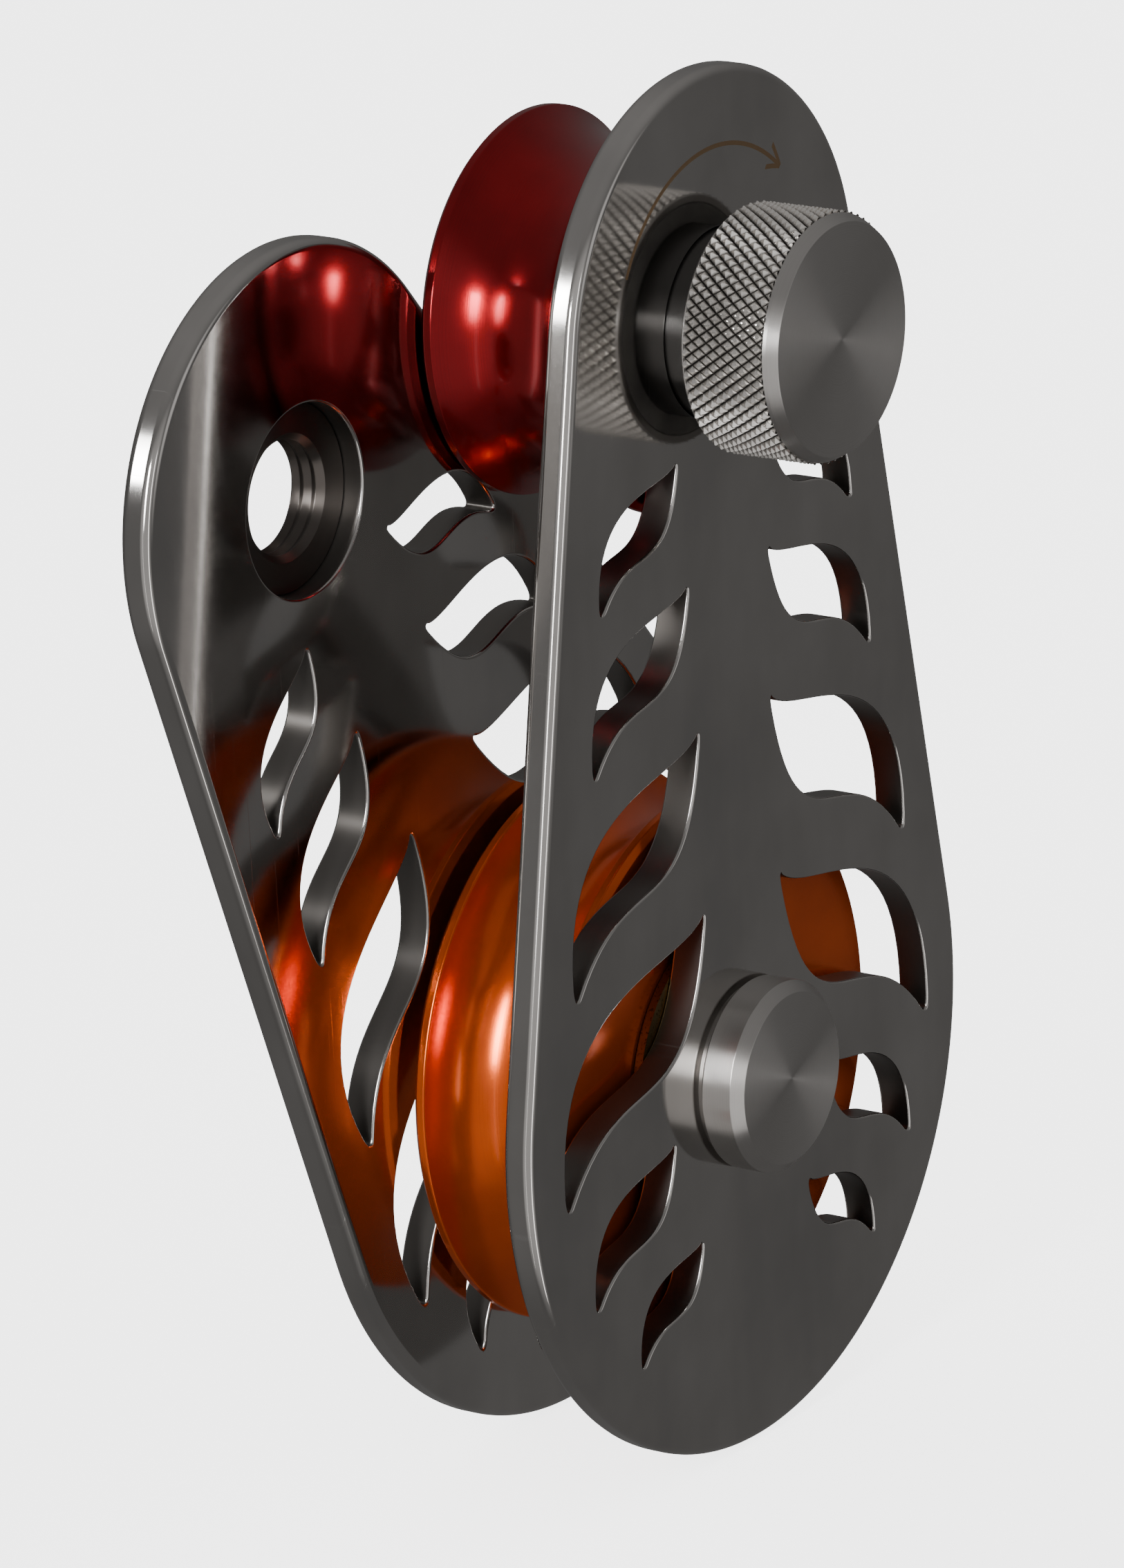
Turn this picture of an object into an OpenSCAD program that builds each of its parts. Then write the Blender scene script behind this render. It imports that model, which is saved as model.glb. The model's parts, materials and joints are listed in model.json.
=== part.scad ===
// Double sheave block with a swing rear plate and a screw-in locking pin.
// The rope sheave turns on the fixed lower axle and the sling sheave on the
// locking pin. X runs across the plates, Y along both axles from the knob side
// to the rear, and Z up from the rope sheave's axle to the locking pin.

/* [Side plates] */
// Distance from the lower axle to the locking pin
axle_pitch = 110; // [108:1:116]
// Clear gap between the two plates
plate_gap = 27; // [27:0.25:29]
// Thickness of each plate
plate_t = 5; // [5:0.25:6]
// Radius of the plates' top end
top_r = 36; // [35:0.5:40]
// Radius of the plates' bottom end
bottom_r = 55.5; // [54:0.5:60]
// Angle by which the rear plate stands open
open_angle = 30; // [0:1:90]

/* [Rope sheave] */
// Outer radius
rope_sheave_r = 40.5; // [38:0.5:42]
// Width over the rims
rope_sheave_w = 24; // [23:0.5:24]
// Radius at the bottom of the groove
rope_groove_r = 31.5; // [30:0.5:33]

/* [Sling sheave] */
// Outer radius
sling_sheave_r = 27.5; // [26:0.5:28]
// Width over the rims
sling_sheave_w = 26; // [25:0.5:26]
// Radius at the bottom of the groove
sling_groove_r = 23; // [22:0.5:24]

/* [Lower axle] */
// Radius of the axle's shank
axle_r = 10; // [9:0.5:10]
// Radius of the head and of the end cap
cap_r = 13.9; // [13.5:0.1:15]
// Height of the head above the front plate
cap_h = 6.9; // [5:0.1:8]

/* [Locking pin] */
// Radius of the pin's shank
pin_r = 13.4; // [13:0.1:13.4]
// Radius of the threaded nose
nose_r = 7.9; // [7:0.1:8]
// Radius of the knob over its knurl
knob_r = 17.6; // [17.4:0.1:19]
// Height of the knob's face above the front plate
knob_h = 20.3; // [19:0.1:22]
// Gap between the knob and the front plate with the pin backed out
knob_gap = 5.2; // [5.2:0.1:6]

/* [Hidden] */
$fn = 96;
eps = 0.01;          // overshoot of a cutter past a face
run = 0.05;          // radial clearance of a running fit
air = 0.3;           // gap between pieces that move past each other

inner_y = plate_gap / 2;
outer_y = inner_y + plate_t;
pin_bore_r = pin_r + run;
socket_r = pin_r + 0.1;      // hole in the rear plate that takes the pin's shank

// Each row is one leaf-shaped slot: the x and z of its inner and outer tips
LEAVES = [
    [11.5, 93.5, 32, 75.5],
    [10, 75.5, 35.5, 53],
    [9, 54, 42.5, 22.5],
    [9.5, 27.5, 47, -7],
    [19.5, -4, 41, -23.5],
    [13.5, -20.5, 30.5, -35.5],
];
// Handles of a leaf's two edges, as shares of its length along and across it
LEAF_TOP = [[0.16, -0.08], [0.56, 0.57]];
LEAF_FOOT = [[0.55, -0.42], [0.49, 0.12]];
leaf_steps = 10;
arc_steps = 64;

sleeve_r = 13;               // bearing sleeve on the axle
rope_bush_r = 16.5;          // outside of the rope sheave's bush
rope_bush_half = 9.5;
rim_w = 2.1;                 // width of each sheave rim beside its groove
rim_bevel = 0.9;

sling_bush_r = 16;
ring_y = -inner_y + 2.3;     // front face of the snap ring
ring_t = 1.3;
ring_r = 15.2;
ring_pocket_y = ring_y + ring_t + 5.4;   // the ring travels this far with the pin

pivot_bush_r = 12.6;
washer_t = 1;
cap_y = outer_y + air + washer_t;        // inner face of the end cap
cap_t = 6;
cap_bevel = 1.5;

tip_y = inner_y - air;       // the nose stops just short of the rear plate
nose_l = 1.8;
knob_y = -outer_y - knob_gap;            // underside of the knob
knob_face_y = -outer_y - knob_h;
knob_recess = 1;             // depth of the washer's seat under the knob
knob_band = 2.0;             // length of the smooth band beside the face
knob_face_r = 16.3;
spigot_r = 9;                // part of the pin that the knob is pressed on
spigot_y = knob_face_y + 3;
knob_washer_r = 16.2;
grub_y = (knob_y + spigot_y) / 2;
grub_r = 2.5;

insert_floor_y = outer_y - 1.9;
insert_back_y = outer_y + 4;
insert_flange_r = 17;
thread_pitch = 2;
thread_depth = 0.6;

// ---- helpers ----

// A profile of radius against y, turned about the Y axis
module turned() rotate([-90, 0, 0]) rotate_extrude() children();

// A round bar along Y between two places
module bar(r, y0, y1) translate([0, y0, 0]) rotate([-90, 0, 0]) cylinder(r = r, h = y1 - y0);

// An outline in X and Z made solid between two places along Y
module slab(y0, y1) rotate([90, 0, 0]) translate([0, 0, -y1]) linear_extrude(y1 - y0) children();

// A ring between two radii and two places along Y
module ring(r_in, r_out, y0, y1)
    turned() polygon([[r_in, y0], [r_out, y0], [r_out, y1], [r_in, y1]]);

module at_pin() translate([0, 0, axle_pitch]) children();

function bezier(a, b, c, d, t) =
    (1 - t) ^ 3 * a + 3 * (1 - t) ^ 2 * t * b + 3 * (1 - t) * t ^ 2 * c + t ^ 3 * d;

function handle(tip, along, share) =
    tip + share[0] * along + share[1] * [-along[1], along[0]];

// One edge of a leaf, from its inner tip to its outer tip
function leaf_edge(inner, outer, shares) = [
    for (i = [0 : leaf_steps])
        bezier(inner, handle(inner, outer - inner, shares[0]),
               handle(inner, outer - inner, shares[1]), outer, i / leaf_steps)
];

// The outline of one leaf: its top edge out, and its foot edge back
function leaf(row) =
    let (inner = [row[0], row[1]], outer = [row[2], row[3]],
         top = leaf_edge(inner, outer, LEAF_TOP),
         foot = leaf_edge(inner, outer, LEAF_FOOT))
    concat(top, [for (i = [leaf_steps - 1 : -1 : 1]) foot[i]]);

// ---- side plates ----

// Points on an arc about a place on the plate's centre line, angles from +X
function arc(z, r, from, to) = [
    for (i = [0 : arc_steps])
        let (a = from + (to - from) * i / arc_steps) [r * cos(a), z + r * sin(a)]
];

// Two arcs joined by the straight lines that touch both
module plate_outline() {
    lean = asin((bottom_r - top_r) / axle_pitch);
    polygon(concat(arc(axle_pitch, top_r, lean, 180 - lean),
                   arc(0, bottom_r, 180 - lean, 360 + lean)));
}

module side_plate(y0, y1, lower_hole_r, upper_hole_r)
    difference() {
        slab(y0, y1) plate_outline();
        for (side = [-1, 1], row = LEAVES)
            slab(y0 - 1, y1 + 1) polygon([for (p = leaf(row)) [side * p[0], p[1]]]);
        bar(lower_hole_r, y0 - 1, y1 + 1);
        at_pin() bar(upper_hole_r, y0 - 1, y1 + 1);
    }

module front_plate()
    color([0.33, 0.32, 0.31]) side_plate(-outer_y, -inner_y, axle_r, pin_bore_r);

module swung() rotate([0, -open_angle, 0]) children();

module rear_plate()
    color([0.36, 0.35, 0.34]) swung() side_plate(inner_y, outer_y, pivot_bush_r, socket_r);

// Bronze bush pressed in the rear plate, on which it swings
module rear_pivot_bush()
    color([0.62, 0.45, 0.22]) swung() ring(axle_r + run, pivot_bush_r, inner_y, outer_y);

// Threaded boss pressed in from behind, which the pin's nose screws into
module lock_insert()
    color([0.45, 0.44, 0.43]) swung() at_pin() difference() {
        turned() polygon([
            [0, insert_floor_y], [socket_r, insert_floor_y], [socket_r, outer_y],
            [insert_flange_r, outer_y], [insert_flange_r, insert_back_y - 1],
            [insert_flange_r - 1, insert_back_y], [0, insert_back_y],
        ]);
        bar(nose_r + 0.1, insert_floor_y - 1, insert_back_y + 1);
        for (y = [insert_floor_y + 1.2 : thread_pitch : insert_back_y - 1]) thread_groove(y);
        turned() polygon([
            [0, insert_floor_y - eps], [nose_r + 1.1, insert_floor_y - eps],
            [nose_r, insert_floor_y + 1.1], [0, insert_floor_y + 1.1],
        ]);
    }

module thread_groove(y)
    turned() polygon([
        [nose_r - 0.2, y - thread_depth - 0.3], [nose_r + 0.1 + thread_depth, y],
        [nose_r - 0.2, y + thread_depth + 0.3],
    ]);

// ---- lower axle ----

module lower_axle()
    color([0.55, 0.54, 0.53]) turned() polygon([
        [0, -outer_y - cap_h], [cap_r - cap_bevel, -outer_y - cap_h],
        [cap_r, -outer_y - cap_h + cap_bevel], [cap_r, -outer_y - 0.4],
        [cap_r - 0.4, -outer_y], [axle_r, -outer_y],
        [axle_r, cap_y], [4, cap_y], [4, cap_y - 15], [0, cap_y - 17],
    ]);

module bearing_sleeve()
    color([0.6, 0.6, 0.6]) ring(axle_r, sleeve_r, -inner_y, inner_y - air);

module front_thrust_washer()
    color([0.66, 0.5, 0.26]) ring(sleeve_r, 21, -inner_y, -rope_sheave_w / 2 - air);

module rear_thrust_washer()
    color([0.66, 0.5, 0.26]) ring(sleeve_r, 21, rope_sheave_w / 2 + air, inner_y - air);

module friction_washer()
    color([0.5, 0.5, 0.5]) ring(axle_r, cap_r - 0.8, outer_y + air, cap_y);

module axle_end_cap()
    color([0.55, 0.54, 0.53]) turned() polygon([
        [4.2, cap_y], [cap_r, cap_y], [cap_r, cap_y + cap_t - cap_bevel],
        [cap_r - cap_bevel, cap_y + cap_t], [8, cap_y + cap_t], [4.2, cap_y + cap_t - 3.8],
    ]);

// Countersunk screw with a hexagon socket, 8 mm nominal
module end_cap_screw()
    color([0.3, 0.3, 0.32]) difference() {
        turned() polygon([
            [0, cap_y - 14], [3.2, cap_y - 14], [4, cap_y - 13], [4, cap_y + cap_t - 3.9],
            [7.7, cap_y + cap_t - 0.2], [0, cap_y + cap_t - 0.2],
        ]);
        translate([0, cap_y + cap_t - 3.4, 0]) rotate([-90, 0, 0]) cylinder(r = 2.9, h = 4, $fn = 6);
    }

// ---- sheaves ----

// A turned sheave: its groove is a ring-shaped cut with a round section
module sheave(r, w, groove_r, bore_r) {
    mouth = w / 2 - rim_w;
    depth = r - groove_r;
    round_r = (mouth ^ 2 + depth ^ 2) / (2 * depth);
    difference() {
        turned() polygon([
            [bore_r, -w / 2], [r - rim_bevel, -w / 2], [r, -w / 2 + rim_bevel],
            [r, w / 2 - rim_bevel], [r - rim_bevel, w / 2], [bore_r, w / 2],
        ]);
        turned() translate([groove_r + round_r, 0]) circle(r = round_r);
    }
}

module rope_sheave()
    color([0.78, 0.32, 0.06]) sheave(rope_sheave_r, rope_sheave_w, rope_groove_r, rope_bush_r);

module rope_sheave_bush()
    color([0.62, 0.45, 0.22]) ring(sleeve_r + run, rope_bush_r, -rope_bush_half, rope_bush_half);

module dust_seal(side)
    ring(sleeve_r + 0.1, rope_bush_r, min(side * rope_bush_half, side * (rope_sheave_w / 2 - 0.3)),
         max(side * rope_bush_half, side * (rope_sheave_w / 2 - 0.3)));

module front_dust_seal() color([0.08, 0.08, 0.08]) dust_seal(-1);

module rear_dust_seal() color([0.08, 0.08, 0.08]) dust_seal(1);

module sling_sheave()
    color([0.45, 0.05, 0.08]) at_pin()
        sheave(sling_sheave_r, sling_sheave_w, sling_groove_r, sling_bush_r);

module sling_sheave_bush()
    color([0.62, 0.45, 0.22]) at_pin()
        ring(pin_bore_r, sling_bush_r, ring_pocket_y, sling_sheave_w / 2 - 0.1);

// ---- locking pin ----

module knob_washer()
    color([0.85, 0.84, 0.8]) at_pin()
        ring(pin_bore_r, knob_washer_r, knob_y - knob_recess + eps, knob_y - eps);

module locking_pin()
    color([0.5, 0.49, 0.48]) at_pin() difference() {
        turned() polygon([
            [0, spigot_y], [spigot_r - 0.5, spigot_y], [spigot_r, spigot_y + 0.5],
            [spigot_r, knob_y - knob_recess], [pin_r, knob_y - knob_recess],
            [pin_r, ring_y], [pin_r - 1, ring_y], [pin_r - 1, ring_y + ring_t],
            [pin_r, ring_y + ring_t], [pin_r, tip_y - nose_l - 1],
            [pin_r - 1, tip_y - nose_l], [nose_r, tip_y - nose_l],
            [nose_r, tip_y - 0.6], [nose_r - 0.6, tip_y], [0, tip_y],
        ]);
        translate([spigot_r - 1, grub_y, 0]) rotate([0, 90, 0]) cylinder(r = grub_r, h = 2);
    }

module pin_snap_ring()
    color([0.25, 0.25, 0.25]) at_pin() difference() {
        ring(pin_r - 1, ring_r, ring_y, ring_y + ring_t);
        slab(ring_y - 1, ring_y + ring_t + 1) translate([-1.5, 0]) square([3, ring_r + 1]);
    }

module knurled_knob()
    color([0.6, 0.59, 0.57]) at_pin() difference() {
        turned() polygon([
            [0, knob_face_y], [knob_face_r, knob_face_y],
            [knob_r - 0.3, knob_face_y + knob_band - 0.4], [knob_r, knob_face_y + knob_band],
            [knob_r, knob_y - 0.5], [knob_r - 0.5, knob_y], [knob_washer_r + 0.1, knob_y],
            [knob_washer_r + 0.1, knob_y - knob_recess], [spigot_r, knob_y - knob_recess],
            [spigot_r, spigot_y], [0, spigot_y],
        ]);
        translate([0, grub_y, 0]) rotate([0, 90, 0]) cylinder(r = grub_r, h = knob_r + 1);
    }

module knob_grub_screw()
    color([0.2, 0.2, 0.22]) at_pin() translate([0, grub_y, 0]) rotate([0, 90, 0])
        difference() {
            translate([0, 0, spigot_r - 1]) cylinder(r = grub_r, h = knob_r - spigot_r - 1);
            translate([0, 0, knob_r - 4]) cylinder(r = 1.45, h = 4, $fn = 6);
        }

front_plate();
lower_axle();
bearing_sleeve();
front_thrust_washer();
rear_thrust_washer();
friction_washer();
axle_end_cap();
end_cap_screw();
rear_plate();
rear_pivot_bush();
lock_insert();
rope_sheave();
rope_sheave_bush();
front_dust_seal();
rear_dust_seal();
sling_sheave();
sling_sheave_bush();
knob_washer();
locking_pin();
pin_snap_ring();
knurled_knob();
knob_grub_screw();
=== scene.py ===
"""Looks of the double sheave block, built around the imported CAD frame.

Lengths are in metres unless a name ends in _mm. Y runs along both axles, from the knob to the rear.
"""

import json
import math

import bmesh
import bpy
from mathutils import Matrix, Vector


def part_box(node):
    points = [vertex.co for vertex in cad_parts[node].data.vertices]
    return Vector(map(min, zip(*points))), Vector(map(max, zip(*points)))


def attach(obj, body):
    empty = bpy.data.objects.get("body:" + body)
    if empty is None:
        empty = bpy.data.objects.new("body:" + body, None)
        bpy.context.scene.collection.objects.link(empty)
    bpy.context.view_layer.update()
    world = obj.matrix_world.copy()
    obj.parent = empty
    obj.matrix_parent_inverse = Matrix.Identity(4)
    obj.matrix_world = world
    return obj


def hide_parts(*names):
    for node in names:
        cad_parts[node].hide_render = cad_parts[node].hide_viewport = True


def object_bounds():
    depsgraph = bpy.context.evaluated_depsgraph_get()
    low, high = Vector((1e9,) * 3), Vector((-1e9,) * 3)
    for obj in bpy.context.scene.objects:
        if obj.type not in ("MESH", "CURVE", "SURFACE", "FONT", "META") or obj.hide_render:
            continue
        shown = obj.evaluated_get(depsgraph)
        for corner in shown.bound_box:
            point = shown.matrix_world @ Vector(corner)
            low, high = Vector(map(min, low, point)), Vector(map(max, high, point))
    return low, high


MM = 0.001
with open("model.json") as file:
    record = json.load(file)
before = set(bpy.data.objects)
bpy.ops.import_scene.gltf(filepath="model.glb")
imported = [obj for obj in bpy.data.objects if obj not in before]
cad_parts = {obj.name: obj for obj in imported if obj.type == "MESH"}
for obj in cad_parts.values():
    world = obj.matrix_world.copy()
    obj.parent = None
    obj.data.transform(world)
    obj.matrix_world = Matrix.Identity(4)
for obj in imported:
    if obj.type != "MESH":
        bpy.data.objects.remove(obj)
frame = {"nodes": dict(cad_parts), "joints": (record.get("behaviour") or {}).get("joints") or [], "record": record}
cad_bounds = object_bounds()
joints = {j["name"]: j for j in frame["joints"]}
PIN_Z = joints["sling_sheave_spin"]["pos_m"][2]
OPEN_ANGLE = math.radians(joints["rear_swing"]["range_deg"][1])

# ---- camera ----

CAMERA_AIM = (-0.0168, 0.0, 0.0452)
CAMERA_AZIMUTH = -55.12
CAMERA_ELEVATION = 18.21
CAMERA_ROLL = 2.86
CAMERA_DISTANCE = 1.32
CAMERA_LENS = 216.4


def make_camera():
    data = bpy.data.cameras.new("camera")
    data.lens = CAMERA_LENS
    data.sensor_width = 36
    camera = bpy.data.objects.new("camera", data)
    bpy.context.scene.collection.objects.link(camera)
    azimuth, elevation = math.radians(CAMERA_AZIMUTH), math.radians(CAMERA_ELEVATION)
    back = Vector((
        math.sin(azimuth) * math.cos(elevation),
        -math.cos(azimuth) * math.cos(elevation),
        math.sin(elevation),
    ))
    turn = (-back).to_track_quat("-Z", "Y").to_matrix().to_4x4()
    roll = Matrix.Rotation(math.radians(-CAMERA_ROLL), 4, "Z")
    camera.matrix_world = Matrix.Translation(Vector(CAMERA_AIM) + back * CAMERA_DISTANCE) @ turn @ roll
    data.clip_start, data.clip_end = 0.05, 50
    bpy.context.scene.camera = camera


# ---- node helpers ----

HAIRLINE_EDGE = 0.06


class Shader:
    """A material and short ways to add nodes to it."""

    def __init__(self, name, colour, metallic=1.0, roughness=0.3, **constants):
        self.material = bpy.data.materials.new(name)
        self.material.use_nodes = True
        self.tree = self.material.node_tree
        self.bsdf = self.tree.nodes["Principled BSDF"]
        self.bsdf.inputs["Base Color"].default_value = (*colour, 1)
        self.bsdf.inputs["Metallic"].default_value = metallic
        self.bsdf.inputs["Roughness"].default_value = roughness
        for socket, value in constants.items():
            self.bsdf.inputs[socket.replace("_", " ")].default_value = value
        self.material.diffuse_color = (*colour, 1)

    def node(self, kind, **settings):
        made = self.tree.nodes.new(kind)
        for key, value in settings.items():
            setattr(made, key, value)
        return made

    def link(self, source, target):
        self.tree.links.new(source, target)

    def value(self, target, source):
        """Puts a number or another node's output into an input."""
        if isinstance(source, (int, float, tuple)):
            target.default_value = source
        else:
            self.link(source, target)

    def coords(self):
        return self.node("ShaderNodeTexCoord").outputs["Object"]

    def attribute(self, name):
        return self.node("ShaderNodeAttribute", attribute_name=name).outputs["Fac"]

    def math(self, operation, a, b=0.0):
        made = self.node("ShaderNodeMath", operation=operation)
        self.value(made.inputs[0], a)
        self.value(made.inputs[1], b)
        return made.outputs[0]

    def scaled(self, vector, scale, turn=(0, 0, 0)):
        made = self.node("ShaderNodeMapping")
        self.link(vector, made.inputs["Vector"])
        made.inputs["Scale"].default_value = scale
        made.inputs["Rotation"].default_value = [math.radians(a) for a in turn]
        return made.outputs[0]

    def noise(self, vector, scale, detail=3.0, roughness=0.55):
        made = self.node("ShaderNodeTexNoise")
        self.link(vector, made.inputs["Vector"])
        made.inputs["Scale"].default_value = scale
        made.inputs["Detail"].default_value = detail
        made.inputs["Roughness"].default_value = roughness
        return made.outputs["Fac"]

    def noise_along(self, value, scale, detail=2.0):
        """Noise that varies only with one number."""
        made = self.node("ShaderNodeTexNoise", noise_dimensions="1D")
        self.value(made.inputs["W"], value)
        made.inputs["Scale"].default_value = scale
        made.inputs["Detail"].default_value = detail
        return made.outputs["Fac"]

    def spread(self, value, low, high, to_low=0.0, to_high=1.0):
        made = self.node("ShaderNodeMapRange", clamp=True)
        self.value(made.inputs["Value"], value)
        made.inputs["From Min"].default_value = low
        made.inputs["From Max"].default_value = high
        made.inputs["To Min"].default_value = to_low
        made.inputs["To Max"].default_value = to_high
        return made.outputs["Result"]

    def blend(self, share, first, second):
        """A colour between two colours."""
        made = self.node("ShaderNodeMix", data_type="RGBA")
        self.value(made.inputs["Factor"], share)
        for socket, colour in ((made.inputs["A"], first), (made.inputs["B"], second)):
            self.value(socket, (*colour, 1) if isinstance(colour, tuple) else colour)
        return made.outputs["Result"]

    def bump(self, height, distance, strength=1.0, under=None):
        made = self.node("ShaderNodeBump")
        made.inputs["Strength"].default_value = strength
        made.inputs["Distance"].default_value = distance
        self.link(height, made.inputs["Height"])
        if under:
            self.link(under, made.inputs["Normal"])
        return made.outputs["Normal"]

    def hairlines(self, coords, turn, along, across, rarity):
        """Sparse fine scratches that all run one way, 0 to 1."""
        lines = self.noise(self.scaled(coords, (along, 1, across), turn), 1.0, 1.0)
        return self.spread(lines, rarity, rarity + HAIRLINE_EDGE)


# ---- materials ----

ARROW_RADIUS = 0.025
ARROW_TIP, ARROW_TAIL = math.radians(47), math.radians(152)
ARROW_HALF_LINE = 0.00032
ARROW_HEAD = 0.0034
ARROW_SPREAD = 0.5
ARROW_COLOUR = (0.4, 0.27, 0.16)
ARROW_ROUGHNESS = 0.32


def turn_arrow(s, at):
    """1 on a plain curved arrow marked round the pin, on the face where the mark attribute is 1."""
    split = s.node("ShaderNodeSeparateXYZ")
    s.link(at, split.inputs[0])
    x, z = split.outputs["X"], s.math("SUBTRACT", split.outputs["Z"], PIN_Z)
    radius = s.math("SQRT", s.math("ADD", s.math("MULTIPLY", x, x), s.math("MULTIPLY", z, z)))
    off = s.math("ABSOLUTE", s.math("SUBTRACT", radius, ARROW_RADIUS))
    angle = s.math("ARCTAN2", z, x)
    along = s.math("MULTIPLY", s.math("SUBTRACT", angle, ARROW_TIP), ARROW_RADIUS)
    line = s.math("MULTIPLY", s.math("LESS_THAN", off, ARROW_HALF_LINE),
                  s.math("LESS_THAN", angle, ARROW_TAIL))
    barb = s.math("ABSOLUTE", s.math("SUBTRACT", off, s.math("MULTIPLY", along, ARROW_SPREAD)))
    head = s.math("MULTIPLY", s.math("LESS_THAN", barb, ARROW_HALF_LINE * 1.2),
                  s.math("LESS_THAN", along, ARROW_HEAD))
    mark = s.math("MULTIPLY", s.math("MAXIMUM", line, head), s.math("GREATER_THAN", along, 0.0))
    return s.math("MULTIPLY", mark, s.attribute("mark"))


def plate_steel():
    """Polished stainless plate: slightly cloudy, with fine hairlines that cross at random."""
    s = Shader("plate_steel", (0.56, 0.545, 0.53), roughness=0.08)
    at = s.coords()
    cloud = s.noise(at, 28, 4)
    smears = s.noise(s.scaled(at, (60, 60, 14), (0, 12, 0)), 1.0, 3)
    fine = s.noise(at, 1500, 2)
    scratches = s.hairlines(at, (0, 4, 0), 2800, 30, 0.70)
    for turn in (-14, 31, 84):
        more = s.hairlines(at, (0, turn, 0), 3200, 60, 0.735)
        scratches = s.math("MAXIMUM", scratches, more)
    mottle = s.math("ADD", s.math("MULTIPLY", cloud, 0.6), s.math("MULTIPLY", smears, 0.4))
    polished = s.blend(s.spread(mottle, 0.35, 0.65), (0.5, 0.485, 0.47), (0.66, 0.64, 0.62))
    # Slot walls: rougher where cut, and their colour taken towards near black as painted shade.
    cut = s.attribute("cut")
    metal = s.blend(s.math("MULTIPLY", cut, 0.9), polished, (0.12, 0.11, 0.1))
    rough = s.math("ADD", s.spread(cloud, 0.3, 0.7, 0.05, 0.09), s.math("MULTIPLY", scratches, 0.1))
    rough = s.math("ADD", rough, s.math("MULTIPLY", cut, 0.3))
    rough = s.math("ADD", rough, s.math("MULTIPLY", s.attribute("edge"), 0.06))
    arrow = turn_arrow(s, at)
    s.link(s.blend(arrow, metal, ARROW_COLOUR), s.bsdf.inputs["Base Color"])
    rough = s.math("ADD", rough, s.math("MULTIPLY", arrow, ARROW_ROUGHNESS))
    s.link(s.math("ADD", rough, s.math("MULTIPLY", fine, 0.03)), s.bsdf.inputs["Roughness"])
    under = s.bump(smears, 0.00003, 0.15)
    s.link(s.bump(scratches, 0.000002, 0.2, under), s.bsdf.inputs["Normal"])
    return s.material


def turned_steel(name="turned_steel", shade=0.62, roughness=0.32, groove=0.000004, scale=2.2):
    """Lathe-turned stainless: rings that follow the profile, and a highlight stretched across them."""
    s = Shader(name, (shade, shade * 0.98, shade * 0.96), roughness=roughness, Anisotropic=0.9,
               Anisotropic_Rotation=0.25)
    along = s.attribute("along_mm")
    rings = s.noise_along(along, scale * 4, 3)
    fine = s.noise_along(along, scale * 22, 1)
    cloud = s.noise(s.coords(), 60, 3)
    tone = s.math("ADD", s.math("MULTIPLY", rings, 0.5), s.math("MULTIPLY", cloud, 0.5))
    unshaded = s.blend(s.spread(tone, 0.3, 0.7), (shade * 0.9, shade * 0.87, shade * 0.84),
                    (shade * 1.06, shade * 1.03, shade))
    # The dark attribute paints shade: it takes the colour towards near black on pieces that sit down in a hole,
    # such as the lock insert.
    s.link(s.blend(s.attribute("dark"), unshaded, (0.1, 0.085, 0.075)), s.bsdf.inputs["Base Color"])
    s.link(s.spread(rings, 0.25, 0.75, roughness - 0.03, roughness + 0.03), s.bsdf.inputs["Roughness"])
    tangent = s.node("ShaderNodeTangent", direction_type="RADIAL", axis="Y")
    s.link(tangent.outputs[0], s.bsdf.inputs["Tangent"])
    height = s.math("ADD", s.math("MULTIPLY", rings, 0.6), s.math("MULTIPLY", fine, 0.4))
    s.link(s.bump(height, groove, 0.5), s.bsdf.inputs["Normal"])
    return s.material


def knurled_steel():
    """Cut diamonds: bright on the slopes; down in the grooves rougher, and darkened to near black as painted
    shade.
    """
    s = Shader("knurled_steel", (0.8, 0.78, 0.75), metallic=0.95, roughness=0.27)
    top = s.attribute("height")
    grain = s.noise(s.coords(), 1400, 3)
    unshaded = s.spread(s.math("ADD", top, s.math("MULTIPLY", grain, 0.2)), 0.18, 0.62)
    # Painted shade: the colour runs from near black in the grooves to bright steel on the tops.
    s.link(s.blend(unshaded, (0.05, 0.045, 0.04), (0.92, 0.89, 0.85)), s.bsdf.inputs["Base Color"])
    s.link(s.spread(unshaded, 0, 1, 0.5, 0.24), s.bsdf.inputs["Roughness"])
    s.link(s.bump(grain, 0.000012, 0.5), s.bsdf.inputs["Normal"])
    return s.material


def anodised(name, colour, deep, metallic):
    """Turned and dyed aluminium with a glossy skin and faint turning lines."""
    s = Shader(name, colour, metallic=metallic, roughness=0.24, Coat_Weight=0.3, Coat_Roughness=0.1)
    along = s.attribute("along_mm")
    lines = s.noise_along(along, 9, 3)
    cloud = s.noise(s.coords(), 45, 4)
    tone = s.math("ADD", s.math("MULTIPLY", lines, 0.35), s.math("MULTIPLY", cloud, 0.65))
    s.link(s.blend(s.spread(tone, 0.35, 0.65), deep, colour), s.bsdf.inputs["Base Color"])
    s.link(s.spread(cloud, 0.3, 0.7, 0.18, 0.24), s.bsdf.inputs["Roughness"])
    s.link(s.bump(lines, 0.000010, 0.35), s.bsdf.inputs["Normal"])
    return s.material


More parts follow.
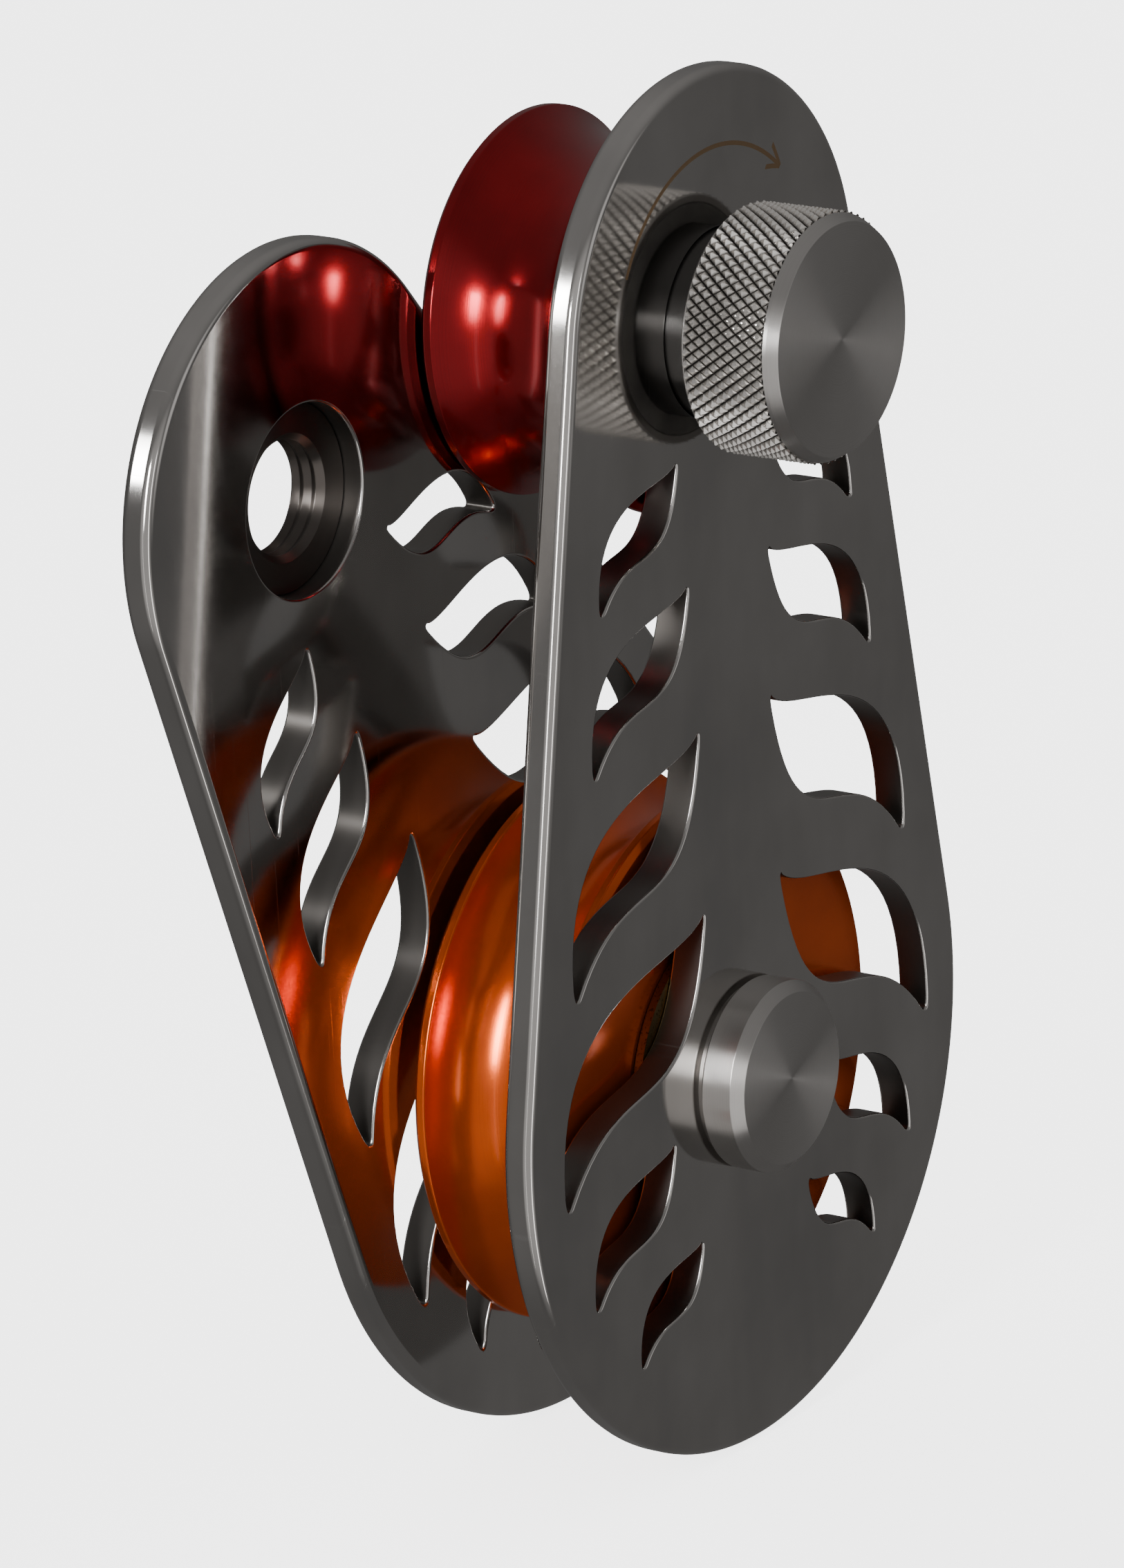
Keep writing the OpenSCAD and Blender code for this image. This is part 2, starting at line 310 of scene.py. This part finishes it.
def bronze():
    """Oiled bearing bronze with darker pores; its dark overall colour is painted shade for where it sits deep
    between the plates.
    """
    s = Shader("bronze", (0.28, 0.19, 0.08), roughness=0.3)
    at = s.coords()
    pores = s.spread(s.noise(at, 2200, 2), 0.55, 0.7)
    cloud = s.noise(at, 120, 3)
    base = s.blend(s.spread(cloud, 0.3, 0.7), (0.2, 0.13, 0.055), (0.32, 0.22, 0.1))
    s.link(s.blend(pores, base, (0.1, 0.06, 0.025)), s.bsdf.inputs["Base Color"])
    s.link(s.spread(pores, 0, 1, 0.28, 0.5), s.bsdf.inputs["Roughness"])
    s.link(s.bump(pores, 0.00002, 0.3), s.bsdf.inputs["Normal"])
    return s.material


def dull_metal(name, dark, light, roughness):
    """Plain oxide or spring-steel skin with a mottled tone."""
    s = Shader(name, light, metallic=0.9, roughness=roughness)
    at = s.coords()
    mottle = s.noise(at, 260, 4)
    grain = s.noise(at, 1800, 2)
    s.link(s.blend(s.spread(mottle, 0.3, 0.7), dark, light), s.bsdf.inputs["Base Color"])
    s.link(s.spread(grain, 0.3, 0.7, roughness - 0.06, roughness + 0.1), s.bsdf.inputs["Roughness"])
    s.link(s.bump(grain, 0.00001, 0.4), s.bsdf.inputs["Normal"])
    return s.material


def soft_solid(name, dark, light, roughness, grain_scale):
    """Moulded rubber or plastic with a fine grain."""
    s = Shader(name, light, metallic=0.0, roughness=roughness)
    at = s.coords()
    cloud = s.noise(at, 180, 3)
    grain = s.noise(at, grain_scale, 3)
    s.link(s.blend(s.spread(cloud, 0.3, 0.7), dark, light), s.bsdf.inputs["Base Color"])
    s.link(s.spread(grain, 0.3, 0.7, roughness - 0.08, roughness + 0.08), s.bsdf.inputs["Roughness"])
    s.link(s.bump(grain, 0.00002, 0.4), s.bsdf.inputs["Normal"])
    return s.material


MATERIALS = {
    "plate_steel": plate_steel(),
    "turned_steel": turned_steel(),
    # ground_steel is kept near black as painted shade, for the pin's neck in the gap under the knob.
    "ground_steel": turned_steel("ground_steel", 0.14, 0.24, 0.000003, 5),
    "knurled_steel": knurled_steel(),
    "orange_anodised": anodised("orange_anodised", (0.82, 0.125, 0.007), (0.6, 0.072, 0.004), 0.84),
    "red_anodised": anodised("red_anodised", (0.38, 0.009, 0.013), (0.22, 0.005, 0.008), 0.94),
    "bronze": bronze(),
    "spring_steel": dull_metal("spring_steel", (0.16, 0.155, 0.15), (0.3, 0.29, 0.28), 0.35),
    "black_steel": dull_metal("black_steel", (0.02, 0.02, 0.022), (0.05, 0.05, 0.055), 0.4),
    "seal_rubber": soft_solid("seal_rubber", (0.012, 0.012, 0.012), (0.03, 0.03, 0.03), 0.6, 1500),
    # white_plastic is made dark grey as painted shade, for the washer in the gap under the knob.
    "white_plastic": soft_solid("white_plastic", (0.16, 0.155, 0.15), (0.24, 0.235, 0.22), 0.5, 900),
}
SLOTS = {p["node"]: p["material_slot"] for p in frame["record"]["subparts"]}


# ---- mesh helpers ----

def place(name, mesh, node, body, slot=None):
    """Puts a finished mesh in the scene in the place of a CAD node."""
    slot = slot or SLOTS[node]
    piece = bpy.data.objects.new(name, mesh)
    bpy.context.scene.collection.objects.link(piece)
    piece.data.materials.append(MATERIALS[slot])
    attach(piece, body)
    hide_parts(node)


def finish_mesh(name, bm, normals=None, attributes=()):
    """Makes a smooth mesh of bm. normals holds one normal for each vertex, in order."""
    bm.verts.ensure_lookup_table()
    mesh = bpy.data.meshes.new(name)
    bm.to_mesh(mesh)
    bm.free()
    mesh.shade_smooth()
    if normals:
        mesh.normals_split_custom_set_from_vertices(normals)
    for key, values in attributes:
        layer = mesh.attributes.new(key, "FLOAT", "POINT")
        layer.data.foreach_set("value", values)
    return mesh


MOST_OF_A_SIDE = 0.48        # how much of a side one corner's rounding may use
CORNER_STEP_DEGREES = 12


def rounded_profile(points, closed):
    """A profile in mm with its corners rounded. A point is (radius, y) or (radius, y, rounding)."""
    result = []
    count = len(points)
    for i, point in enumerate(points):
        here = Vector(point[:2])
        rounding = point[2] if len(point) > 2 else 0.0
        at_end = not closed and i in (0, count - 1)
        if rounding == 0 or at_end:
            result.append(here)
            continue
        before, after = Vector(points[i - 1][:2]), Vector(points[(i + 1) % count][:2])
        back, ahead = (before - here), (after - here)
        turn = math.pi - back.angle(ahead)
        reach = min(rounding * math.tan(turn / 2), back.length * MOST_OF_A_SIDE,
                    ahead.length * MOST_OF_A_SIDE)
        radius = reach / math.tan(turn / 2)
        start = here + back.normalized() * reach
        centre = here + (back.normalized() + ahead.normalized()).normalized() * (
            radius / math.cos(turn / 2))
        steps = max(2, math.ceil(math.degrees(turn) / CORNER_STEP_DEGREES))
        sign = 1 if back.cross(ahead) < 0 else -1
        arm = start - centre
        for k in range(steps + 1):
            angle = -sign * turn * k / steps
            result.append(centre + Matrix.Rotation(-angle, 2) @ arm)
    return result


def lathe(name, profile, node, body, z=0.0, x=0.0, segments=160, closed=False, dark=0.0, slot=None):
    """Turns a profile of (radius, y) points in mm about a line along Y at x and z."""
    points = rounded_profile(profile, closed)
    count = len(points)
    pairs = [(i, (i + 1) % count) for i in range(count if closed else count - 1)]
    slopes = []
    for a, b in pairs:
        step = points[b] - points[a]
        slopes.append(Vector((-step.y, step.x)))
    flat = []
    for i in range(count):
        near = [slopes[k] for k, pair in enumerate(pairs) if i in pair]
        total = sum(near, Vector((0, 0)))
        flat.append(total.normalized() if total.length else Vector((1, 0)))
    travelled = [0.0]
    for i in range(1, count):
        travelled.append(travelled[-1] + (points[i] - points[i - 1]).length)
    bm = bmesh.new()
    normals, along, rings = [], [], []
    for i, point in enumerate(points):
        on_axis = point.x < 1e-6
        ring = []
        for k in range(1 if on_axis else segments):
            angle = 2 * math.pi * k / segments
            out = Vector((math.cos(angle), 0, math.sin(angle)))
            ring.append(bm.verts.new(out * point.x * MM + Vector((x, point.y * MM, z))))
            normals.append(out * (0 if on_axis else flat[i].x) + Vector((0, flat[i].y, 0)))
            along.append(travelled[i])
        rings.append(ring)
    for a, b in pairs:
        first, second = rings[a], rings[b]
        for k in range(segments):
            nxt = (k + 1) % segments
            if len(first) == 1:
                corners = [first[0], second[nxt], second[k]]
            elif len(second) == 1:
                corners = [first[k], first[nxt], second[0]]
            else:
                corners = [first[k], first[nxt], second[nxt], second[k]]
            if len(set(corners)) > 2:
                bm.faces.new(corners)
    bm.normal_update()
    if bm.calc_volume(signed=True) < 0:
        bmesh.ops.reverse_faces(bm, faces=bm.faces)
        normals = [-n for n in normals]
    mesh = finish_mesh(name, bm, normals, [("along_mm", along), ("dark", [dark] * len(along))])
    place(name, mesh, node, body, slot)


def mm_box(node):
    """A CAD node's lowest and highest corners in mm."""
    low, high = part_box(node)
    return low / MM, high / MM


# ---- side plates ----

TOP_R, BOTTOM_R = 36.0, 55.5
# One row for each leaf-shaped slot: x and z of its inner and outer tips, in mm
LEAVES = [
    (11.5, 93.5, 32, 75.5),
    (10, 75.5, 35.5, 53),
    (9, 54, 42.5, 22.5),
    (9.5, 27.5, 47, -7),
    (19.5, -4, 41, -23.5),
    (13.5, -20.5, 30.5, -35.5),
]
LEAF_TOP = ((0.16, -0.08), (0.56, 0.57))
LEAF_FOOT = ((0.55, -0.42), (0.49, 0.12))
LEAF_STEPS = 30
TIP_CUT = 1.5
OUTER_ROUNDING = 1.5
SLOT_ROUNDING = 0.45


def leaf_edge(inner, outer, shares):
    along = outer - inner
    across = Vector((-along.y, along.x))
    c1, c2 = (inner + a * along + b * across for a, b in shares)
    points = []
    for i in range(LEAF_STEPS + 1):
        t = i / LEAF_STEPS
        points.append((1 - t) ** 3 * inner + 3 * (1 - t) ** 2 * t * c1
                      + 3 * (1 - t) * t ** 2 * c2 + t ** 3 * outer)
    return points


def tip_curve(start, tip, end, steps=8):
    """A soft round end from one edge of a leaf to the other."""
    return [(1 - t) ** 2 * start + 2 * (1 - t) * t * tip + t ** 2 * end
            for t in (i / steps for i in range(1, steps))]


def leaf_outline(row):
    """A leaf with both tips cut back and rounded."""
    inner, outer = Vector(row[:2]), Vector(row[2:])
    top, foot = ([p for p in leaf_edge(inner, outer, shares)
                  if min((p - inner).length, (p - outer).length) > TIP_CUT]
                 for shares in (LEAF_TOP, LEAF_FOOT))
    foot.reverse()
    return top + tip_curve(top[-1], outer, foot[0]) + foot + tip_curve(foot[-1], inner, top[0])


def arc(z, radius, start, end, steps):
    return [Vector((radius * math.cos(a), z + radius * math.sin(a)))
            for a in (start + (end - start) * i / steps for i in range(steps + 1))]


def plate_outline():
    pitch = PIN_Z / MM
    lean = math.asin((BOTTOM_R - TOP_R) / pitch)
    return (arc(pitch, TOP_R, lean, math.pi - lean, 90)
            + arc(0, BOTTOM_R, math.pi - lean, 2 * math.pi + lean, 130))


def circle(z, radius, steps=128):
    return arc(z, radius, 0, 2 * math.pi * (1 - 1 / steps), steps - 1)


def outward(points):
    """Unit normals to the right of a closed line: outward where it runs anticlockwise."""
    normals = []
    for i, here in enumerate(points):
        before, after = points[i - 1], points[(i + 1) % len(points)]
        first, second = (here - before).normalized(), (after - here).normalized()
        total = first + second
        normals.append(Vector((total.y, -total.x)).normalized())
    return normals


def anticlockwise(points):
    area = sum(a.cross(b) for a, b in zip(points, points[1:] + points[:1]))
    return points if area > 0 else points[::-1]


def plate_piece(name, body, lower_hole_mm, upper_hole_mm, swing):
    """A side plate with rounded edges all round, its slots and its two holes."""
    low, high = mm_box(name)
    loops = [(anticlockwise(plate_outline()), OUTER_ROUNDING)]
    for side in (-1, 1):
        for row in LEAVES:
            leaf = [Vector((side * p.x, p.y)) for p in leaf_outline(row)]
            loops.append((anticlockwise(leaf)[::-1], SLOT_ROUNDING))
    loops.append((circle(0, lower_hole_mm)[::-1], SLOT_ROUNDING))
    loops.append((circle(PIN_Z / MM, upper_hole_mm)[::-1], SLOT_ROUNDING))
    turn = Matrix.Rotation(swing, 3, "Y")
    bm = bmesh.new()
    normals, cuts, edges, marks = [], [], [], []
    ends = ([], [])
    for points, rounding in loops:
        sides = outward(points)
        steps = 7 if rounding == OUTER_ROUNDING else 3
        angles = [math.pi / 2 * (1 - k / steps) for k in range(steps + 1)]
        rings = []
        for face_y, sign, order in ((low.y, 1, angles), (high.y, -1, angles[::-1])):
            for angle in order:
                inset = rounding * (1 - math.cos(angle))
                y = face_y + sign * rounding * (1 - math.sin(angle))
                on_side, outer = angle == 0, rounding == OUTER_ROUNDING
                marked = name == "front_plate" and sign == 1 and angle == math.pi / 2
                ring = []
                for point, side in zip(points, sides):
                    p = point - side * inset
                    ring.append(bm.verts.new(turn @ (Vector((p.x, y, p.y)) * MM)))
                    n = Vector((side.x * math.cos(angle), -sign * math.sin(angle),
                                side.y * math.cos(angle)))
                    normals.append(turn @ n)
                    cuts.append(float(on_side and not outer))
                    edges.append(float(on_side and outer))
                    marks.append(float(marked))
                rings.append(ring)
        count = len(points)
        for first, second in zip(rings, rings[1:]):
            for k in range(count):
                nxt = (k + 1) % count
                bm.faces.new((first[k], second[k], second[nxt], first[nxt]))
        for end, ring in zip(ends, (rings[0], rings[-1])):
            end += [bm.edges.get((ring[k], ring[(k + 1) % count])) for k in range(count)]
    for end, facing in zip(ends, (-1, 1)):
        bmesh.ops.triangle_fill(bm, use_beauty=True, edges=end, normal=(0, facing, 0))
    bmesh.ops.recalc_face_normals(bm, faces=bm.faces)
    mesh = finish_mesh(name, bm, normals, [("cut", cuts), ("edge", edges), ("mark", marks)])
    place(name + "_polished", mesh, name, body)


# ---- sheaves ----

RIM_WIDTH = 2.1
RIM_BEVEL = 0.9
GROOVE_LIP = 0.35
GROOVE_STEPS = 48


def sheave(node, body, z, groove_mm, bore_mm, segments):
    """A sheave with bevelled, softened rims and a round-bottomed groove."""
    low, high = mm_box(node)
    radius, half = (high.x - low.x) / 2, (high.y - low.y) / 2
    middle = (high.y + low.y) / 2
    mouth, depth = half - RIM_WIDTH, radius - groove_mm
    round_r = (mouth ** 2 + depth ** 2) / (2 * depth)
    span = math.asin(mouth / round_r)
    if depth > round_r:
        span = math.pi - span
    groove = []
    for i in range(GROOVE_STEPS + 1):
        angle = -span + 2 * span * i / GROOVE_STEPS
        groove.append((groove_mm + round_r * (1 - math.cos(angle)),
                       middle + round_r * math.sin(angle)))
    groove[0], groove[-1] = (*groove[0], GROOVE_LIP), (*groove[-1], GROOVE_LIP)
    profile = [
        (bore_mm, middle - half + 0.6, 0.2), (bore_mm + 0.6, middle - half, 0.2),
        (radius - RIM_BEVEL, middle - half, 0.4), (radius, middle - half + RIM_BEVEL, 0.4),
        *groove,
        (radius, middle + half - RIM_BEVEL, 0.4), (radius - RIM_BEVEL, middle + half, 0.4),
        (bore_mm + 0.6, middle + half, 0.2), (bore_mm, middle + half - 0.6, 0.2),
    ]
    lathe(node + "_turned", profile, node, body, z, segments=segments, closed=True)


# ---- turned pieces ----

AXLE_R = 10.0
CAP_BEVEL = 1.5
SPIGOT_R = 9.0
PLATE_REAR_Y = 18.5
# Share of painted shade on the lock insert, which sits down in the rear hole.
INSERT_PAINTED_SHADE = 0.92


def lower_axle():
    """The axle: bevelled head, undercut beside the plate, shank and a blind hole for the cap's screw."""
    low, high = mm_box("lower_axle")
    plate_low, _ = mm_box("front_plate")
    head_r, front, back, plate = high.x, low.y, high.y, plate_low.y
    undercut_r, hole_r, hole_depth = head_r - 1.2, 4, 15
    profile = [
        (0, front), (head_r - CAP_BEVEL, front, 0.15), (head_r, front + CAP_BEVEL, 0.25),
        (head_r, plate - 0.75, 0.2), (undercut_r, plate - 0.6, 0.1), (undercut_r, plate - 0.02, 0.1),
        (AXLE_R, plate, 0.1), (AXLE_R, back - 0.5, 0.1), (AXLE_R - 0.5, back, 0.1),
        (hole_r, back, 0.1), (hole_r, back - hole_depth), (0, back - hole_depth - 2),
    ]
    lathe("lower_axle_turned", profile, "lower_axle", "frame")


def end_cap():
    """The cap on the rear end of the axle, countersunk for its screw."""
    low, high = mm_box("axle_end_cap")
    r, front, back = high.x, low.y, high.y
    hole_r, sink_r, sink_depth = 4.2, 8, 3.8
    profile = [
        (hole_r, front), (r - 0.3, front, 0.1), (r, front + 0.3, 0.1), (r, back - CAP_BEVEL, 0.25),
        (r - CAP_BEVEL, back, 0.15), (sink_r, back, 0.1), (hole_r, back - sink_depth, 0.1),
    ]
    lathe("axle_end_cap_turned", profile, "axle_end_cap", "frame", closed=True)


def lock_insert():
    """The threaded insert behind the rear hole, with real thread crests in its bore."""
    front, back, boss_r, flange_r = 16.6, 22.5, 13.35, 16.8
    bore, thread, pitch = 8.0, 0.65, 2.0
    profile = [
        (boss_r, front, 0.15), (boss_r, PLATE_REAR_Y), (flange_r, PLATE_REAR_Y, 0.2),
        (flange_r, back - 1, 0.2), (flange_r - 1, back, 0.2), (bore + 1.2, back, 0.1),
    ]
    y = back - 0.9
    while y - pitch / 2 > front + 0.8:
        profile += [(bore, y, 0.12), (bore + thread, y - pitch / 2, 0.1)]
        y -= pitch
    profile += [(bore, front + 1.0, 0.15), (bore + 1, front, 0.12)]
    lathe("lock_insert_turned", profile, "lock_insert", "rear_plate", PIN_Z * math.cos(OPEN_ANGLE),
          -PIN_Z * math.sin(OPEN_ANGLE), segments=144, closed=True, dark=INSERT_PAINTED_SHADE)


def pin_neck():
    """The locking pin, with a softened shank and nose."""
    low, high = mm_box("locking_pin")
    shank_r, nose_r = high.x, 7.9
    shoulder, shank_end = -24.7, 11.4
    slot_front, slot_back, slot_r = -11.25, -9.85, 12.35    # groove for the snap ring
    profile = [
        (0, low.y), (SPIGOT_R, low.y, 0.1), (SPIGOT_R, shoulder, 0.1), (shank_r, shoulder, 0.15),
        (shank_r, slot_front, 0.05), (slot_r, slot_front), (slot_r, slot_back),
        (shank_r, slot_back, 0.05),
        (shank_r, shank_end - 1, 0.3), (shank_r - 1, shank_end, 0.3), (nose_r, shank_end, 0.2),
        (nose_r, high.y - 0.6, 0.1), (nose_r - 0.6, high.y, 0.1), (0, high.y),
    ]
    lathe("locking_pin_turned", profile, "locking_pin", "locking_pin", PIN_Z)


# ---- knob ----

KNURL_COUNT = 64
KNURL_ROW = 1.16
KNURL_DEPTH = 0.75
KNURL_FLAT = 0.14
KNOB_BAND = 2.0
KNOB_FACE_R = 16.3
SPIGOT_HOLE_DEPTH = 3.0


def knob():
    """The knob: a lattice of cut diamonds round its side, a smooth band and a turned face."""
    low, high = mm_box("knurled_knob")
    radius = (high.x - low.x) / 2
    face, under = low.y, high.y
    recess, washer_r, spigot = 1.0, 16.3, face + SPIGOT_HOLE_DEPTH
    start = face + KNOB_BAND
    rows = round((under - 0.3 - start) / KNURL_ROW)
    valley = radius - KNURL_DEPTH
    bm = bmesh.new()
    heights = []
    made = {}

    def vertex(turn, y, r, height):
        """One vertex, shared by the diamonds that meet there. turn counts diamonds round the knob."""
        key = (round(turn * 8) % (KNURL_COUNT * 8), round(y, 4), round(r, 4), height)
        if key not in made:
            angle = 2 * math.pi * turn / KNURL_COUNT
            at = Vector((r * math.cos(angle), y, r * math.sin(angle))) * MM
            made[key] = bm.verts.new(at + Vector((0, 0, PIN_Z)))
            heights.append(height)
        return made[key]

    for row in range(rows + 1):
        y = start + row * KNURL_ROW
        for k in range(KNURL_COUNT):
            turn = k + 0.5 * (row % 2)
            left, right = vertex(turn - 0.5, y, valley, 0), vertex(turn + 0.5, y, valley, 0)
            flat_l = vertex(turn - KNURL_FLAT / 2, y, radius, 1)
            flat_r = vertex(turn + KNURL_FLAT / 2, y, radius, 1)
            tops = []
            if row < rows:
                tip = vertex(turn, y + KNURL_ROW, valley, 0)
                flat = vertex(turn, y + KNURL_FLAT * KNURL_ROW, radius, 1)
                bm.faces.new((left, tip, flat, flat_l))
                bm.faces.new((flat_r, flat, tip, right))
                tops.append(flat)
            if row > 0:
                foot = vertex(turn, y - KNURL_ROW, valley, 0)
                flat = vertex(turn, y - KNURL_FLAT * KNURL_ROW, radius, 1)
                bm.faces.new((left, flat_l, flat, foot))
                bm.faces.new((flat_r, right, foot, flat))
                tops.append(flat)
            if len(tops) == 2:
                bm.faces.new((flat_l, tops[0], flat_r, tops[1]))
            else:
                bm.faces.new((flat_l, tops[0], flat_r))
    bmesh.ops.recalc_face_normals(bm, faces=bm.faces)
    mesh = bpy.data.meshes.new("knurl")
    bm.to_mesh(mesh)
    bm.free()
    layer = mesh.attributes.new("height", "FLOAT", "POINT")
    layer.data.foreach_set("value", [float(h) for h in heights])
    place("knob_knurl", mesh, "knurled_knob", "locking_pin")
    end = start + rows * KNURL_ROW
    core_r = valley - 0.22
    profile = [
        (0, face), (KNOB_FACE_R, face, 0.12), (radius - 0.45, start - 0.5, 0.15),
        (radius - 0.25, start, 0.05), (core_r, start + 0.01, 0.05), (core_r, end - 0.01, 0.05),
        (radius - 0.1, end, 0.05), (radius - 0.35, under, 0.15), (washer_r, under, 0.1),
        (washer_r, under - recess), (SPIGOT_R, under - recess), (SPIGOT_R, spigot), (0, spigot),
    ]
    lathe("knob_body", profile, "knurled_knob", "locking_pin", PIN_Z, slot="turned_steel")


# ---- floor and light ----

FLOOR_RADIUS = 6
FLOOR_GAP = 0.0005
FLOOR_GLOW = 3.2
BACKDROP = 4.0
ROOM_TINT = (1.0, 0.98, 0.965)
ROOM_GREY, CEILING_GREY = 0.12, 0.12
# Azimuth, elevation, width, height and softness in degrees, and brightness
ROOM_LIGHTS = [
    (304, -18, 60, 50, 25, 0.05),    # grey wall to the left and behind
    (262, -12, 2, 60, 1, 1.7),       # strip to the left of the viewer
    (205, -14, 6, 60, 3, 3.0),       # strip to the right of the viewer
    (238, -8, 90, 70, 30, 0.4),      # wide glow behind the viewer
    (163, 4, 26, 24, 16, 0.5),       # glow that the turned faces spread into a bow tie
]
# Name, place, aim, width, height, brightness, and cone in degrees
SOFT_BOXES = [
    ("red_highlight", (-0.24, 0.142, 0.19), (-0.022, 0, 0.117), 0.03, 0.065, 60.0, 40),
    ("orange_highlight", (-0.29, -0.05, 0.11), (-0.03, 0.003, 0.013), 0.04, 0.17, 60.0, 44),
]


def pale_floor():
    low, _ = cad_bounds
    bm = bmesh.new()
    bmesh.ops.create_circle(bm, cap_ends=True, segments=128, radius=FLOOR_RADIUS)
    mesh = bpy.data.meshes.new("floor")
    bm.to_mesh(mesh)
    bm.free()
    floor = bpy.data.objects.new("floor", mesh)
    floor.location.z = low.z - FLOOR_GAP
    bpy.context.scene.collection.objects.link(floor)
    material = bpy.data.materials.new("floor")
    material.use_nodes = True
    bsdf = material.node_tree.nodes["Principled BSDF"]
    bsdf.inputs["Base Color"].default_value = (0.9, 0.9, 0.9, 1)
    bsdf.inputs["Roughness"].default_value = 0.9
    bsdf.inputs["Emission Color"].default_value = (1, 1, 1, 1)
    bsdf.inputs["Emission Strength"].default_value = FLOOR_GLOW
    mesh.materials.append(material)
    floor.visible_glossy = False
    floor.visible_diffuse = False


class Studio:
    """The surroundings: pale for the camera, and a dim room with lights in reflections."""

    def __init__(self):
        self.world = bpy.data.worlds.new("studio")
        bpy.context.scene.world = self.world
        self.world.use_nodes = True
        self.tree = self.world.node_tree
        self.tree.nodes.clear()
        coords = self.tree.nodes.new("ShaderNodeTexCoord")
        self.direction = coords.outputs["Generated"]

    def math(self, operation, a, b=0.0):
        node = self.tree.nodes.new("ShaderNodeMath")
        node.operation = operation
        for socket, value in zip(node.inputs, (a, b)):
            if isinstance(value, (int, float)):
                socket.default_value = value
            else:
                self.tree.links.new(value, socket)
        return node.outputs[0]

    def dot(self, direction):
        node = self.tree.nodes.new("ShaderNodeVectorMath")
        node.operation = "DOT_PRODUCT"
        self.tree.links.new(self.direction, node.inputs[0])
        node.inputs[1].default_value = direction
        return node.outputs["Value"]

    def edge(self, value, low, high):
        node = self.tree.nodes.new("ShaderNodeMapRange")
        node.interpolation_type = "SMOOTHSTEP"
        self.tree.links.new(value, node.inputs["Value"])
        node.inputs["From Min"].default_value = low
        node.inputs["From Max"].default_value = high
        return node.outputs["Result"]

    def box(self, azimuth, elevation, width, height, soft):
        """1 inside a soft-edged rectangle of the sky, all in degrees. Azimuth 0 is +Y, 90 is +X."""
        a, e = math.radians(azimuth), math.radians(elevation)
        ahead = Vector((math.sin(a) * math.cos(e), math.cos(a) * math.cos(e), math.sin(e)))
        side = Vector((math.cos(a), -math.sin(a), 0))
        up = side.cross(ahead)
        front = self.math("MAXIMUM", self.dot(ahead), 0.001)
        parts = []
        for axis, size in ((side, width), (up, height)):
            off = self.math("ABSOLUTE", self.math("DIVIDE", self.dot(axis), front))
            inside, outside = (math.tan(math.radians(max(size / 2 + s, 0.5)))
                               for s in (-soft / 2, soft / 2))
            parts.append(self.math("SUBTRACT", 1.0, self.edge(off, inside, outside)))
        forward = self.edge(self.dot(ahead), 0.02, 0.05)
        return self.math("MULTIPLY", self.math("MULTIPLY", *parts), forward)

    def finish(self, room):
        nodes, links = self.tree.nodes, self.tree.links
        tint = nodes.new("ShaderNodeCombineColor")
        for socket, share in zip(tint.inputs, ROOM_TINT):
            links.new(self.math("MULTIPLY", room, share), socket)
        reflected, plain = nodes.new("ShaderNodeBackground"), nodes.new("ShaderNodeBackground")
        links.new(tint.outputs[0], reflected.inputs["Color"])
        plain.inputs["Color"].default_value = (1, 1, 1, 1)
        path, mix = nodes.new("ShaderNodeLightPath"), nodes.new("ShaderNodeMixShader")
        output = nodes.new("ShaderNodeOutputWorld")
        seen = self.math("MULTIPLY_ADD", path.outputs["Is Camera Ray"], BACKDROP - 1)
        seen.node.inputs[2].default_value = 1
        links.new(seen, plain.inputs["Strength"])
        links.new(path.outputs["Is Glossy Ray"], mix.inputs["Fac"])
        links.new(plain.outputs[0], mix.inputs[1])
        links.new(reflected.outputs[0], mix.inputs[2])
        links.new(mix.outputs[0], output.inputs["Surface"])


def area_light(name, position, target, width, height, radiance, spread):
    """A soft box aimed at one sheave; radiance is what its middle shows, spread the cone in degrees."""
    data = bpy.data.lights.new(name, "AREA")
    data.shape, data.size, data.size_y = "RECTANGLE", width, height
    data.spread = math.radians(spread)
    half = data.spread / 2
    data.energy = radiance * math.pi * width * height * (1 - half / math.tan(half))
    light = bpy.data.objects.new(name, data)
    facing = (Vector(target) - Vector(position)).to_track_quat("-Z", "Y").to_matrix().to_4x4()
    light.matrix_world = Matrix.Translation(position) @ facing
    light.visible_camera = False
    bpy.context.scene.collection.objects.link(light)


def light_the_studio():
    studio = Studio()
    up = studio.dot((0, 0, 1))
    ceiling = studio.math("MULTIPLY", studio.edge(up, -0.1, 1.0), CEILING_GREY)
    room = studio.math("ADD", ROOM_GREY, ceiling)
    for *where, brightness in ROOM_LIGHTS:
        room = studio.math("ADD", room, studio.math("MULTIPLY", studio.box(*where), brightness))
    studio.finish(room)
    for soft_box in SOFT_BOXES:
        area_light(*soft_box)


make_camera()
plate_piece("front_plate", "frame", lower_hole_mm=AXLE_R, upper_hole_mm=13.45, swing=0)
plate_piece("rear_plate", "rear_plate", lower_hole_mm=12.6, upper_hole_mm=13.5, swing=-OPEN_ANGLE)
sheave("rope_sheave", "rope_sheave", 0, groove_mm=31.5, bore_mm=16.5, segments=256)
sheave("sling_sheave", "sling_sheave", PIN_Z, groove_mm=23.0, bore_mm=16.0, segments=224)
lower_axle()
end_cap()
lock_insert()
pin_neck()
knob()
for node, piece in frame["nodes"].items():
    piece.data.materials.clear()
    piece.data.materials.append(MATERIALS[SLOTS[node]])
pale_floor()
light_the_studio()
